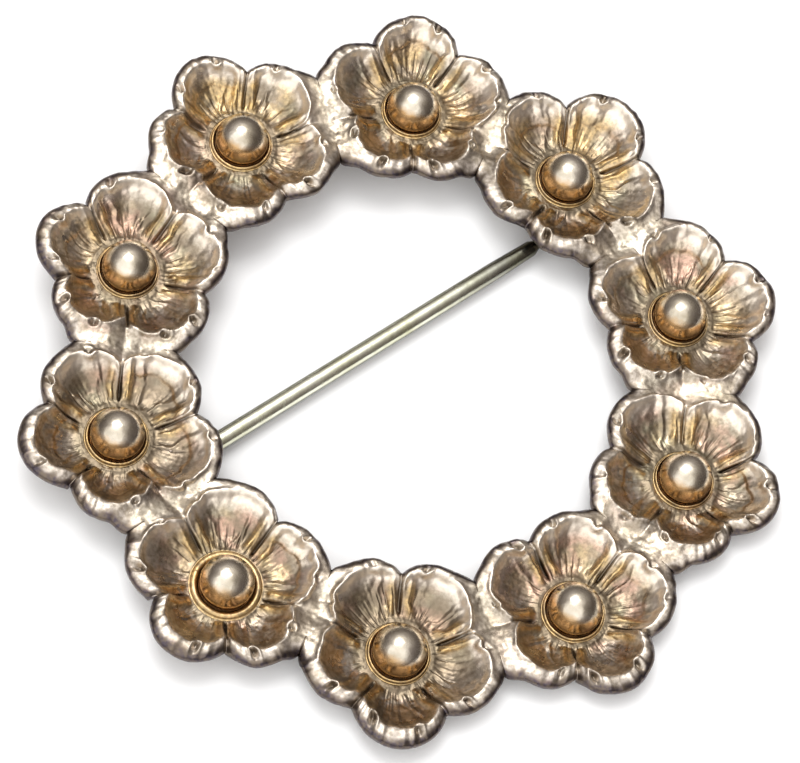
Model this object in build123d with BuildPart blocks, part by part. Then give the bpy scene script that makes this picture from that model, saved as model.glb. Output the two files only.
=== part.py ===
from build123d import *
from math import atan2, cos, degrees, hypot, pi, radians, sin
import os

# Wreath brooch: ten five-petalled blossoms in a ring, a polished bead in each one,
# and a straight pin stem across the back. Millimetres throughout.

# The ring of blossoms, with its plane through the undersides of the bead seats
wreath_radius = 15.15
first_blossom_angle = 110.7
metal = 0.42

# One blossom, heights measured from the underside of its seat
petal_count = 5
petal_reach = 5.2
crest_height = 1.7
crest_inset = 0.4
skirt_drop = 0.5
bowl_edge_radius = 1.85
bowl_edge_height = 0.5
web_reach = 2.6
web_edge_share = 0.92

# The crest: how far it falls towards a notch, the shoulder outside it and the slope
# inside the skirt
crest_fall = 0.12
crest_fall_power = 4
shoulder_inset = 0.1
shoulder_drop = 0.22
skirt_slope = 0.12

# A nick in the crest (place and half width as shares of half a petal)
nick_place = 0.5
nick_half_width = 0.25
nick_edge_depth = 0.12
nick_crest_depth = 0.22

# The spoon of a petal, its raised sides and the clefts (places as shares of half a petal)
spoon_power = 1.6
ridge_place = 0.75
ridge_height = 0.16
cleft_depth = 0.14
fold_half_width = 0.25

# Seat and bead
seat_radius = 1.42
seat_ring_radius = 1.62
seat_ring_rise = 0.25
bead_radius = 1.38
bead_sunk = 0.45
bead_gap = 0.05
peg_radius = 0.42
peg_clearance = 0.08

# Pin stem: which way it runs, how far it passes from the middle, and its ends (the
# hinge and the catch as shares of wreath_radius)
stem_heading = -121.6
stem_offset = 2.38
stem_radius = 0.48
hinge_reach = 0.766
catch_reach = 0.786
slim_length = 1.6
slim_radius = 0.4
point_overhang = 1.4
point_taper = 1.7
point_radius = 0.1
neck_radius = 0.24
neck_start = 0.72
neck_taper = 0.4
root_radius = 0.42
root_length = 3.6

# Hinge: an eye on the stem between two soldered ears
swing_tilt = 27.0
eye_radius = 0.52
eye_width = 0.52
rivet_radius = 0.22
running_clearance = 0.03
side_clearance = 0.06
ear_metal = 0.34
rivet_head_radius = 0.34
rivet_head_height = 0.12
rivet_room = 0.1

# Catch: a strip bent under the stem, open towards the middle of the ring
catch_width = 1.4
catch_metal = 0.25
catch_gap = 0.1
catch_lip_short = 0.32
catch_bend = 0.2
catch_inner_bend = 0.1

# How deep the soldered fastenings reach into the metal (share of metal)
solder_depth = 0.6

# How finely a blossom is divided: facets round it, steps along half a web, and shares of
# the way from the bowl's edge to the crest, on top and underneath
rays = 40
seam_steps = 3
upper_shares = [0.3, 0.55, 0.8]
lower_shares = [0.6, 0.3]

# Points closer than this are one point, and a patch this flat is one facet
same_distance = 1e-6
flat_distance = 1e-7

# Each blossom's own turn (degrees), its reach from the middle (share of wreath_radius) and
# how far the web after it goes, towards the ring's hole and outwards (shares of web_reach)
blossom_table = [
    {"turn": -0.8, "reach": 1.010, "web_inner": 0.85, "web_outer": 1.06},
    {"turn": 0.7, "reach": 0.976, "web_inner": 0.87, "web_outer": 1.04},
    {"turn": -0.6, "reach": 1.006, "web_inner": 1.04, "web_outer": 1.08},
    {"turn": 0.6, "reach": 1.014, "web_inner": 0.96, "web_outer": 1.02},
    {"turn": -0.2, "reach": 0.995, "web_inner": 0.98, "web_outer": 0.98},
    {"turn": -0.2, "reach": 0.999, "web_inner": 1.00, "web_outer": 0.87},
    {"turn": 0.4, "reach": 0.992, "web_inner": 1.04, "web_outer": 1.04},
    {"turn": 0.2, "reach": 1.008, "web_inner": 1.04, "web_outer": 0.98},
    {"turn": 0.5, "reach": 0.995, "web_inner": 0.98, "web_outer": 0.96},
    {"turn": -0.7, "reach": 1.006, "web_inner": 0.88, "web_outer": 1.00},
]

# Lengths of each blossom's petals, anticlockwise from the outward one (shares of
# petal_reach)
petal_lengths = [
    {"outward": 1.01, "left": 1.01, "inner_left": 0.95, "inner_right": 0.91, "right": 0.99},
    {"outward": 1.04, "left": 1.00, "inner_left": 0.95, "inner_right": 0.95, "right": 1.01},
    {"outward": 1.00, "left": 1.02, "inner_left": 0.99, "inner_right": 0.97, "right": 0.98},
    {"outward": 0.96, "left": 0.98, "inner_left": 1.01, "inner_right": 1.02, "right": 0.95},
    {"outward": 0.98, "left": 1.01, "inner_left": 0.99, "inner_right": 1.01, "right": 0.95},
    {"outward": 1.01, "left": 1.00, "inner_left": 0.97, "inner_right": 0.98, "right": 0.98},
    {"outward": 0.96, "left": 0.95, "inner_left": 0.99, "inner_right": 1.02, "right": 1.02},
    {"outward": 0.99, "left": 0.95, "inner_left": 1.04, "inner_right": 1.00, "right": 0.98},
    {"outward": 0.97, "left": 0.95, "inner_left": 1.01, "inner_right": 1.00, "right": 1.00},
    {"outward": 0.96, "left": 0.98, "inner_left": 1.01, "inner_right": 0.98, "right": 0.95},
]

# Crest of each petal (share of crest_height), depth of the notch beside it and how square
# its end is
petal_table = [
    {"petal": "outward", "crest": 1.05, "notch": 0.23, "square": 1.9},
    {"petal": "left", "crest": 1.00, "notch": 0.22, "square": 2.2},
    {"petal": "inner_left", "crest": 0.93, "notch": 0.20, "square": 2.2},
    {"petal": "inner_right", "crest": 0.93, "notch": 0.20, "square": 2.2},
    {"petal": "right", "crest": 1.00, "notch": 0.22, "square": 2.2},
]

# The web between two blossoms, from the hole of the ring outwards: how far along (-1 to
# 1) and its height (share of crest_height)
web_table = [
    {"along": -1.00, "height": 0.88},
    {"along": -0.67, "height": 0.80},
    {"along": -0.33, "height": 0.68},
    {"along": 0.00, "height": 0.74},
    {"along": 0.33, "height": 0.88},
    {"along": 0.67, "height": 0.92},
    {"along": 1.00, "height": 0.88},
]

# Worked out from the sizes above
blossom_count = len(blossom_table)
blossom_step = 360 / blossom_count
petal_step = 360 / petal_count
ray_step = 360 / rays
web_angle = 90 + blossom_step / 2
bead_height = metal + bead_gap + bead_sunk
peg_hole_radius = peg_radius + peg_clearance
ear_inside = eye_width / 2 + side_clearance
ear_outside = ear_inside + ear_metal
rivet_half = ear_outside + running_clearance
rivet_end = rivet_half + rivet_head_height
hinge_distance = hinge_reach * wreath_radius
catch_distance = catch_reach * wreath_radius

# The stem's direction from hinge to catch, and the way to its side
along = Vector(cos(radians(stem_heading)), sin(radians(stem_heading)), 0)
aside = Vector(0, 0, 1).cross(along)


def blossom_centre(index):
    row = blossom_table[index % blossom_count]
    angle = radians(first_blossom_angle - blossom_step * index + row["turn"])
    return Vector(cos(angle), sin(angle), 0) * (wreath_radius * row["reach"])


# Blossom relief
def petal_at(angle):
    # The petal at an angle from outward, and how far across it, -1 to 1
    index = round(angle / petal_step)
    across = (angle - index * petal_step) / (petal_step / 2)
    return petal_table[index % petal_count], across, index


def outline(angle, blossom):
    # Outer edge and crest line: a lobe with one nick, on alternate sides
    petal, across, index = petal_at(angle)
    reach = petal_reach * petal_lengths[blossom % blossom_count][petal["petal"]]
    reach *= 1 - petal["notch"] * abs(across) ** petal["square"]
    side = 1 if (index + blossom) % 2 else -1
    nick = max(0.0, 1 - abs(across - side * nick_place) / nick_half_width)
    return reach - nick_edge_depth * nick, reach - crest_inset - nick_crest_depth * nick


def crest_at(angle):
    petal, across, _ = petal_at(angle)
    return crest_height * petal["crest"] * (1 - crest_fall * abs(across) ** crest_fall_power)


def bowl_height(angle, share, crest):
    # From the seat to the crest: a spoon with raised sides and a cleft beside it
    _, across, _ = petal_at(angle)
    height = bowl_edge_height + (crest - bowl_edge_height) * share**spoon_power
    ridge = max(0.0, 1 - abs(abs(across) - ridge_place) / fold_half_width)
    cleft = max(0.0, 1 - (1 - abs(across)) / fold_half_width)
    return height + sin(pi * share) * (ridge_height * ridge - cleft_depth * cleft)


def metal_top(point):
    # Height of the upper surface over a point inside one of the bowls
    index = min(range(blossom_count), key=lambda each: (blossom_centre(each) - point).length)
    centre = blossom_centre(index)
    offset = point - centre
    angle = degrees(atan2(offset.Y, offset.X) - atan2(centre.Y, centre.X))
    angle = (angle + 180) % 360 - 180
    _, crest_radius = outline(angle, index)
    share = (hypot(offset.X, offset.Y) - bowl_edge_radius) / (crest_radius - bowl_edge_radius)
    return bowl_height(angle, min(max(share, 0), 1), crest_at(angle))


def lowest_top(middle, half_along, half_across):
    # The lowest place of the upper surface over a small foot
    corners = [
        middle + along * (half_along * one) + aside * (half_across * other)
        for one in (-1, 1)
        for other in (-1, 1)
    ]
    return min(metal_top(Vector(corner.X, corner.Y, 0)) for corner in corners)


def solder_height(middle, half_along, half_across):
    # The top of a fastening that is soldered under a bowl, over its whole foot
    return lowest_top(middle, half_along, half_across) - metal * (1 - solder_depth)


def stem_plan(distance):
    # Distance along the stem from its nearest point to the middle, towards the catch
    return aside * -stem_offset + along * distance


# The stem lies as close under the ring as the higher head of the rivet allows
tilt_sine = sin(radians(swing_tilt))
tilt_cosine = cos(radians(swing_tilt))
rivet_rise = rivet_end * tilt_sine + rivet_head_radius * tilt_cosine
high_head = stem_plan(-hinge_distance) + aside * (rivet_end * tilt_cosine)
head_ceiling = lowest_top(high_head, rivet_head_radius, rivet_head_radius) - metal
stem_drop = rivet_rise + rivet_room - head_ceiling
fastening_depth = stem_drop + stem_radius + catch_gap + catch_metal
ear_radius = (fastening_depth - stem_drop - ear_outside * tilt_sine) / tilt_cosine

# The brooch lies on three places: its catch, its hinge and the seat of the blossom that
# stands out furthest on the other side, so its plane leans by a few degrees
support_across = stem_offset + catch_lip_short
seat_across = max(
    blossom_centre(index).dot(aside) + seat_radius for index in range(blossom_count)
)
lean = degrees(atan2(fastening_depth, support_across + seat_across))
lean_axis = Axis((0, 0, 0), along)
brooch = Plane(
    origin=(0, 0, seat_across * sin(radians(lean))),
    x_dir=Vector(1, 0, 0).rotate(lean_axis, -lean),
    z_dir=Vector(0, 0, 1).rotate(lean_axis, -lean),
)


def placed(point):
    # A point of the ring's own frame, where the brooch lies
    return brooch.from_local_coords(point)


def turned(direction):
    return placed(direction) - placed(Vector(0, 0, 0))


def stem_point(distance):
    return stem_plan(distance) - Vector(0, 0, stem_drop)


def web_points(index):
    # Points on the seam between a blossom and the next one: on top, underneath, and at
    # the two ends also the foot of the skirt
    here = blossom_centre(index)
    there = blossom_centre(index + 1)
    middle = (here + there) * 0.5
    outward = Vector(0, 0, 1).cross(there - here).normalized()
    if outward.dot(middle) < 0:
        outward = outward * -1
    points = []
    for row in web_table:
        side = "web_outer" if row["along"] > 0 else "web_inner"
        reach = web_reach * blossom_table[index % blossom_count][side]
        foot = middle + outward * (reach * row["along"])
        top = crest_height * row["height"]
        inset = foot
        if abs(row["along"]) == 1:
            inset = foot - outward * (metal * row["along"])
        points.append(
            {
                "top": foot + Vector(0, 0, top),
                "under": inset + Vector(0, 0, top - metal),
                "foot": foot + Vector(0, 0, top - skirt_drop),
                "foot_inside": inset + Vector(0, 0, top - skirt_drop),
                "end": abs(row["along"]) == 1,
            }
        )
    return points


webs = [web_points(index) for index in range(blossom_count)]


def web_for(index, ray):
    # The seam point that a ray of a blossom runs to, if it runs to one
    step = round((ray * ray_step - web_angle) / ray_step)
    if abs(step) <= seam_steps:
        return webs[(index - 1) % blossom_count][seam_steps - step]
    step = round((ray * ray_step - 360 + web_angle) / ray_step)
    if abs(step) <= seam_steps:
        return webs[index][seam_steps + step]
    return None


def blossom_ray(index, ray):
    # Points of one ray, from the peg hole over the crest and back underneath
    centre = blossom_centre(index)
    angle = ray * ray_step
    if angle > 180:
        angle -= 360
    outward = degrees(atan2(centre.Y, centre.X))
    heading = radians(outward + angle)
    ahead = Vector(cos(heading), sin(heading), 0)

    def spot(radius, height):
        return centre + ahead * radius + Vector(0, 0, height)

    seam = web_for(index, ray)
    inner_edge = centre + ahead * bowl_edge_radius
    if seam:
        rim_edge = Vector(seam["top"].X, seam["top"].Y, 0)
        rim_height = seam["top"].Z
    else:
        edge_radius, crest_radius = outline(angle, index)
        rim_edge = centre + ahead * crest_radius
        rim_height = crest_at(angle)

    def between(share, lift):
        flat = inner_edge + (rim_edge - inner_edge) * share
        height = bowl_height(angle, share, rim_height)
        return flat + Vector(0, 0, height + lift)

    points = [
        spot(peg_hole_radius, metal),
        spot(seat_radius, metal),
        spot(seat_ring_radius, metal + seat_ring_rise),
        spot(bowl_edge_radius, bowl_edge_height),
    ]
    points += [between(share, 0) for share in upper_shares]
    if seam and seam["end"]:
        points += [between(web_edge_share, 0), seam["top"]]
        points += [seam["foot"], seam["foot_inside"], seam["under"]]
    elif seam:
        points += [between(web_edge_share, 0), seam["top"]]
        points += [seam["top"], seam["under"], seam["under"]]
    else:
        foot = rim_height - skirt_drop
        points += [
            rim_edge + Vector(0, 0, rim_height),
            spot(edge_radius - shoulder_inset, rim_height - shoulder_drop),
            spot(edge_radius, foot),
            spot(edge_radius - metal, foot),
            spot(edge_radius - metal - skirt_slope, rim_height - metal),
        ]
    points += [between(share, -metal) for share in lower_shares]
    points += [spot(seat_radius, 0), spot(peg_hole_radius, 0)]
    return [placed(point) for point in points], bool(seam)


def same(first, second):
    return (first - second).length < same_distance


def patches(corners):
    # A flat four-sided patch stays whole, any other is two triangles
    kept = []
    for corner in corners:
        if not any(same(corner, other) for other in kept):
            kept.append(corner)
    if len(kept) < 3:
        return []
    if len(kept) == 4:
        normal = (kept[1] - kept[0]).cross(kept[2] - kept[0])
        if abs(normal.normalized().dot(kept[3] - kept[0])) < flat_distance:
            return [kept]
        return [kept[:3], [kept[0], kept[2], kept[3]]]
    return [kept]


seat_rows = 4
crest_row = seat_rows + len(upper_shares)
seam_rows = (crest_row + 1, crest_row + 2, crest_row + 3)

wreath_faces = []
for index in range(blossom_count):
    fan = [blossom_ray(index, ray) for ray in range(rays)]
    for ray in range(rays):
        near, near_seam = fan[ray]
        far, far_seam = fan[(ray + 1) % rays]
        rows = len(near)
        for row in range(rows):
            # Inside the seam two blossoms meet, and no face lies there
            if near_seam and far_seam and row in seam_rows:
                continue
            after = (row + 1) % rows
            corners = [near[row], far[row], far[after], near[after]]
            for patch in patches(corners):
                wreath_faces.append(Face(Wire.make_polygon(patch, close=True)))

blossom_ring = Solid(Shell(wreath_faces))

# Catch: the back of the strip beside the stem and the lip under it
catch_plane = Plane(
    origin=placed(stem_point(catch_distance)),
    x_dir=turned(aside),
    z_dir=turned(along * -1),
)
catch_inside = stem_radius + catch_gap
catch_outside = catch_inside + catch_metal
catch_back = stem_point(catch_distance) - aside * (catch_outside + catch_inside) / 2
catch_top = -stem_drop - solder_height(catch_back, catch_width / 2, catch_metal / 2)
with BuildPart() as catch:
    # On this plane the second axis points down, away from the blossoms
    with BuildSketch(catch_plane.offset(-catch_width / 2)):
        with BuildLine():
            Polyline(
                (-catch_outside, catch_top),
                (-catch_outside, catch_outside - catch_bend),
                (-catch_outside + catch_bend, catch_outside),
                (-catch_lip_short, catch_outside),
                (-catch_lip_short, catch_inside),
                (-catch_inside + catch_inner_bend, catch_inside),
                (-catch_inside, catch_inside - catch_inner_bend),
                (-catch_inside, catch_top),
                close=True,
            )
        make_face()
    extrude(amount=catch_width)

# Hinge ears: round plates across the swing axis, soldered to the blossom above
swing_axis = turned(aside * tilt_cosine + Vector(0, 0, tilt_sine))
hinge_plane = Plane(
    origin=placed(stem_point(-hinge_distance)),
    x_dir=turned(along),
    z_dir=swing_axis,
)
with BuildPart() as ears:
    for ear_middle in (-(ear_inside + ear_outside) / 2, (ear_inside + ear_outside) / 2):
        foot = stem_point(-hinge_distance) + aside * (ear_middle * tilt_cosine)
        rise = solder_height(foot, ear_radius, ear_metal / 2) + stem_drop
        highest_edge = (ear_middle + ear_metal / 2) * tilt_sine
        reach_up = (rise - highest_edge) / tilt_cosine
        with BuildSketch(hinge_plane.offset(ear_middle - ear_metal / 2)):
            Circle(ear_radius)
            with Locations((0, -reach_up / 2)):
                Rectangle(2 * ear_radius, reach_up)
            Circle(rivet_radius + running_clearance, mode=Mode.SUBTRACT)
        extrude(amount=ear_metal)

with BuildPart() as wreath:
    add(catch.part)
    add(ears.part)
    add(blossom_ring)
wreath.part.label = "wreath"

# Beads: a ball with a flat foot and a peg, one in each seat
beads = []
for index in range(blossom_count):
    bead_plane = Plane(
        origin=placed(blossom_centre(index)),
        x_dir=turned(Vector(1, 0, 0)),
        z_dir=turned(Vector(0, -1, 0)),
    )
    foot_radius = (bead_radius**2 - bead_sunk**2) ** 0.5
    foot_height = bead_height - bead_sunk
    with BuildPart() as bead:
        with BuildSketch(bead_plane):
            with BuildLine():
                Polyline(
                    (0, bead_height + bead_radius),
                    (0, bead_gap),
                    (peg_radius, bead_gap),
                    (peg_radius, foot_height),
                    (foot_radius, foot_height),
                )
                ThreePointArc(
                    (foot_radius, foot_height),
                    (bead_radius * cos(pi / 4), bead_height + bead_radius * sin(pi / 4)),
                    (0, bead_height + bead_radius),
                )
            make_face()
        revolve(axis=Axis(bead_plane.origin, brooch.z_dir))
    bead.part.label = f"bead_{index + 1:02d}"
    beads.append(bead.part)

# Rivet of the hinge, with its two headed ends
with BuildPart() as hinge_rivet:
    with BuildSketch(hinge_plane.offset(-rivet_half)):
        Circle(rivet_radius)
    extrude(amount=2 * rivet_half)
    for start in (-rivet_half - rivet_head_height, rivet_half):
        with BuildSketch(hinge_plane.offset(start)):
            Circle(rivet_head_radius)
        extrude(amount=rivet_head_height)
hinge_rivet.part.label = "hinge_rivet"

# Pin stem: an eye, a neck, a root that widens to a straight round stem, slimmer again
# where it lies in the catch
stem_end = hinge_distance + catch_distance + catch_width / 2 + point_overhang
stem_plane = Plane(
    origin=hinge_plane.origin,
    x_dir=turned(along),
    z_dir=swing_axis,
)
with BuildPart() as pin_stem:
    with BuildSketch(stem_plane):
        with BuildLine():
            Polyline(
                (0, 0),
                (0, neck_radius),
                (neck_start, neck_radius),
                (neck_start + neck_taper, root_radius),
                (root_length, stem_radius),
                (hinge_distance + catch_distance - slim_length, stem_radius),
                (stem_end - point_taper, slim_radius),
                (stem_end, point_radius),
                (stem_end, 0),
                close=True,
            )
        make_face()
    revolve(axis=Axis(stem_plane.origin, stem_plane.x_dir))
    with BuildSketch(hinge_plane.offset(-eye_width / 2)):
        Circle(eye_radius)
    extrude(amount=eye_width)
    with BuildSketch(hinge_plane.offset(-eye_width)):
        Circle(rivet_radius + running_clearance)
    extrude(amount=2 * eye_width, mode=Mode.SUBTRACT)
pin_stem.part.label = "pin_stem"

os.makedirs("parts", exist_ok=True)
export_step(wreath.part, "parts/wreath.step")
for bead_part in beads:
    export_step(bead_part, f"parts/{bead_part.label}.step")
export_step(hinge_rivet.part, "parts/hinge_rivet.step")
export_step(pin_stem.part, "parts/pin_stem.step")
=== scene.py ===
from math import cos, radians, sin
from types import SimpleNamespace

import bmesh
import bpy
import numpy as np
from mathutils import Matrix, Vector


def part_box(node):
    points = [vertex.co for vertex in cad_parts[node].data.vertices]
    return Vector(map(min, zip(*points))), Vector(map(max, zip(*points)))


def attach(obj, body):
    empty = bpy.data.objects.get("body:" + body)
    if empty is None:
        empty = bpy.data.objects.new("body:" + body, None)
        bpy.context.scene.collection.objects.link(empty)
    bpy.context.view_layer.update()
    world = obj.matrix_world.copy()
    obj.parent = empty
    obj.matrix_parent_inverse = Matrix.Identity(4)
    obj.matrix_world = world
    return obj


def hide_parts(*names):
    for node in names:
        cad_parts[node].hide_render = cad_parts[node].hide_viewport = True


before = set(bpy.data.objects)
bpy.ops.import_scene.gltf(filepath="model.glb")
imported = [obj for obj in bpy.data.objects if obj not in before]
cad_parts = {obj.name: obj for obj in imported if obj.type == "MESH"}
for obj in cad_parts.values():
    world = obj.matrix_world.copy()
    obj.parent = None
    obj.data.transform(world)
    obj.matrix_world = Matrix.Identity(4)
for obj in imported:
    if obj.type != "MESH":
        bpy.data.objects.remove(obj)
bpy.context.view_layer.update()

# Wreath brooch: ten open blossoms in a ring with a polished bead in each, and a straight
# pin stem across the back. Sizes are millimetres in the ring's own frame, whose plane
# goes through the undersides of the bead seats.
MM = 0.001

# One blossom: how far a petal reaches from the centre, half its turn in degrees, and how
# its outer edge wavers
petal_reach = 5.2
petal_half = 36.0
edge_margin = 0.03
edge_wave = 0.05

# The crest of the rim: its height, how far it falls towards the next petal (a share), how
# far it lies in from the outer edge, and how it wanders
crest_height = 1.7
crest_fall = 0.12
crest_inset = 0.66
front_widening = 0.30
crest_wave_broad = 0.09
crest_wave_fine = 0.04

# Outside the crest the rim turns over a shoulder and goes down a skirt
shoulder_drop = 0.34
skirt_drop = 0.5
skirt_back = 0.1

# Thickness of the metal, how much of the hollow shows underneath, how far the underside
# stays above the seats, the bowl's edge beside the seat, the hole for the bead's peg and
# the height of the bead's middle over the ring's plane
metal = 0.42
least_metal = 0.2
under_hollow = 0.5
under_least = 0.03
under_slope = 0.09
bowl_edge_radius = 1.85
bowl_edge_height = 0.5
hole_radius = 0.5
bead_height = 0.92

# The web between two blossoms: half its length, how far its smooth plateau reaches from
# the seam, over how many degrees of its ends the petals' edge goes over into it, how wide
# a strip of the seam is all web, and how a petal's crest goes over into it
web_reach = 2.6
web_plateau = 1.15
web_blend_angle = 12.0
web_seam = 0.02
web_at_crest = 0.35
web_blend_width = 0.25

# Relief of a petal. Its spoon rises with a power of the share of the way from the bowl's
# edge to the crest, has a hollow in it and falls outside the crest
spoon_power = 1.7
swell_power = 0.8
hollow_depth = 0.16
outer_fall = 0.12

# Folds beside each cleft: where they start and end on that way, each (place, over what
# share), and how much of its rise each keeps
fold_place = 0.45
fold_width = 0.2
fold_rise = 0.2
fold_wander = 0.09
fold_start = (0.0, 0.25)
fold_end = (1.06, 0.3)
fold_least = 0.65
fold_spread = 0.5
second_fold_place = 1.15
second_fold_width = 0.13
second_fold_rise = 0.09

# The cleft between two petals, and how one of them lies over the other: where they start
# on the way to the crest, and how far outside it they end
cleft_width = 0.075
cleft_depth = 0.24
cleft_start = (0.04, 0.25)
cleft_end = 0.3
overlap = 0.1
overlap_reach = 0.3
overlap_start = (0.05, 0.3)
overlap_end = 0.35

# Engraved veins: the degrees between two, how far from the blossom's centre they start
# and end, how much that differs from vein to vein, and how strong they are at the front
vein_step = 7.2
vein_width = 0.06
vein_depth = 0.06
vein_start = 1.6
vein_start_spread = 0.5
vein_starting = 0.2
vein_end = 2.5
vein_end_spread = 1.3
vein_ending = 0.5
vein_clear = (1.4, 0.8)
vein_wander = 0.25
vein_wander_length = 0.9
vein_in_front = 0.3

# The step across the spoon: its place, bend and steepness (shares of the way to the
# crest), how it ends beside the cleft, where the spoon sinks before it, and how rare it is
step_place = 0.56
step_spread = 0.16
step_curve = 0.12
step_wander = 0.03
step_wander_angle = 6
step_width = 0.06
step_edge_width = 0.035
step_side = 0.45
step_rise = 0.07
step_sink = (0.0, 0.9)
step_rarity = 0.7

# The rolled crest, and the nicks curled into it: their pit, the lip round it (shares of
# the pit's radius), their uneven outline, and how the crest bends in to them
crest_roll_in = 0.08
crest_roll_width = 0.19
crest_roll_rise = 0.1
crest_roll_end = (1.02, 0.12)
nick_out = 0.16
nick_stretch = 1.6
nick_stretch_by_width = 0.5
nick_radius = 0.13
nick_depth = 0.34
nick_lip_rise = 0.08
nick_lip_place = 2.0
nick_lip_width = 0.6
nick_wander = 0.02
nick_wander_size = 0.12
nick_curl = 0.18
nick_curl_width = 0.26

# Fine streaks along the petals
streak_rise = 0.016
streak_angle = 2.2
streak_length = 1.6

# Where the marks for the colours start on the way to the crest, each (place, over what
# share): the painted highlight on the back petals and the painted shade on the front ones,
# the dark round the seat (distance from the centre, width), the wear of the gilding, paler
# at the back as painted light, and how a blossom's front and back go over into each other
lit_start = (0.64, 0.26)
front_shade_start = (0.1, 0.3)
worn_start = (0.45, 0.45)
dark_ring = (1.75, 0.35)
wear_least = 0.6
paler_at_back = 0.15
wear_spread = 0.25
wear_size = 0.5
back_middle = 0.55
front_middle = 0.45
back_slope = 0.9

# The rim outside the crest: the share of its rows that turn over, how far over the nicks
# end, its lumps, and where its dark starts (both shares of the way over); that dark is
# tarnish with a painted dark reflection
rim_turn = 0.6
rim_dent_end = 0.7
rim_lump = 0.07
dark_start = 0.50
dark_at_back = 0.22
dark_outwards = 0.12
dark_waver = 0.2
dark_softness = 0.35

# How dark the underside and the fittings are, tarnish with painted shade, and how much of
# its gold a blossom keeps towards the front; the stronger gold at the back is painted sheen
under_shade_and_tarnish = 0.65
fitting_shade_and_tarnish = 0.55
gold_in_front = 0.45

# Seat: a flat floor, then a thin raised ring with its foot, the gap inside it, the step
# outside it and its wear (a share of its rise)
seat_radius = 1.42
seat_margin = 0.1
seat_underside = 0.003
seat_ring_rise = 0.25
ring_foot = 0.03
ring_gap = 0.01
ring_margin = 0.03
ring_wear = 0.15

# Depth of the finest unevenness of the metals, in metres
fine_relief_depth = 0.00004

# Pin fittings under the ring: which way the stem runs from hinge to catch, the strip of
# the catch and the two ears of the hinge
stem_heading = -121.6
stem_radius = 0.48
hinge_to_catch = 23.513
catch_width = 1.4
catch_metal = 0.25
catch_gap = 0.1
catch_lip_short = 0.32
catch_bend = 0.2
catch_corner = 0.05
swing_tilt = 27.0
ear_inside = 0.32
ear_metal = 0.34
ear_radius = 0.58
solder_depth = 0.2
edge_rounding = 0.03
sharp_angle = 30.0

# How finely a blossom is divided
outer_rays = 230
seam_rays = 50
inner_rays = 110
ring_rows = 9
bowl_rows = 64
rim_rows = 10
lower_rows = 8

# Petals from the outward one round, anticlockwise from above: crest (share of
# crest_height), notch depth and how square the end is
petal_table = [
    {"petal": "outward", "crest": 1.05, "notch": 0.23, "square": 1.9},
    {"petal": "left", "crest": 1.00, "notch": 0.22, "square": 2.2},
    {"petal": "inner_left", "crest": 0.93, "notch": 0.20, "square": 2.2},
    {"petal": "inner_right", "crest": 0.93, "notch": 0.20, "square": 2.2},
    {"petal": "right", "crest": 1.00, "notch": 0.22, "square": 2.2},
]

# Lengths of each blossom's petals, anticlockwise from the outward one (shares of
# petal_reach)
petal_lengths = [
    {"outward": 1.01, "left": 1.01, "inner_left": 0.95, "inner_right": 0.91, "right": 0.99},
    {"outward": 1.04, "left": 1.00, "inner_left": 0.95, "inner_right": 0.95, "right": 1.01},
    {"outward": 1.00, "left": 1.02, "inner_left": 0.99, "inner_right": 0.97, "right": 0.98},
    {"outward": 0.96, "left": 0.98, "inner_left": 1.01, "inner_right": 1.02, "right": 0.95},
    {"outward": 0.98, "left": 1.01, "inner_left": 0.99, "inner_right": 1.01, "right": 0.95},
    {"outward": 1.01, "left": 1.00, "inner_left": 0.97, "inner_right": 0.98, "right": 0.98},
    {"outward": 0.96, "left": 0.95, "inner_left": 0.99, "inner_right": 1.02, "right": 1.02},
    {"outward": 0.99, "left": 0.95, "inner_left": 1.04, "inner_right": 1.00, "right": 0.98},
    {"outward": 0.97, "left": 0.95, "inner_left": 1.01, "inner_right": 1.00, "right": 1.00},
    {"outward": 0.96, "left": 0.98, "inner_left": 1.01, "inner_right": 0.98, "right": 0.95},
]

# Each blossom: how far the web after it reaches towards the ring's hole and outwards
# (shares of web_reach), the ring round its seat, and how much gold, rose and
# tarnish it shows
blossom_table = [
    {"web_inner": 0.85, "web_outer": 1.06, "ring_radius": 1.49, "ring_half": 0.09,
     "gold": 0.8, "rose": 0.2, "tarnish": 0.05},
    {"web_inner": 0.87, "web_outer": 1.04, "ring_radius": 1.49, "ring_half": 0.09,
     "gold": 0.9, "rose": 0.2, "tarnish": 0.15},
    {"web_inner": 1.04, "web_outer": 1.08, "ring_radius": 1.49, "ring_half": 0.09,
     "gold": 0.5, "rose": 0.7, "tarnish": 0.00},
    {"web_inner": 0.96, "web_outer": 1.02, "ring_radius": 1.49, "ring_half": 0.09,
     "gold": 0.6, "rose": 0.6, "tarnish": 0.00},
    {"web_inner": 0.98, "web_outer": 0.98, "ring_radius": 1.51, "ring_half": 0.11,
     "gold": 0.5, "rose": 0.8, "tarnish": 0.40},
    {"web_inner": 1.00, "web_outer": 0.87, "ring_radius": 1.51, "ring_half": 0.11,
     "gold": 0.3, "rose": 0.7, "tarnish": 0.95},
    {"web_inner": 1.04, "web_outer": 1.04, "ring_radius": 1.62, "ring_half": 0.22,
     "gold": 0.6, "rose": 0.8, "tarnish": 0.50},
    {"web_inner": 1.04, "web_outer": 0.98, "ring_radius": 1.51, "ring_half": 0.11,
     "gold": 0.4, "rose": 0.8, "tarnish": 0.75},
    {"web_inner": 0.98, "web_outer": 0.96, "ring_radius": 1.49, "ring_half": 0.09,
     "gold": 0.5, "rose": 0.9, "tarnish": 0.30},
    {"web_inner": 0.88, "web_outer": 1.00, "ring_radius": 1.51, "ring_half": 0.11,
     "gold": 0.9, "rose": 0.4, "tarnish": 0.10},
]

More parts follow.
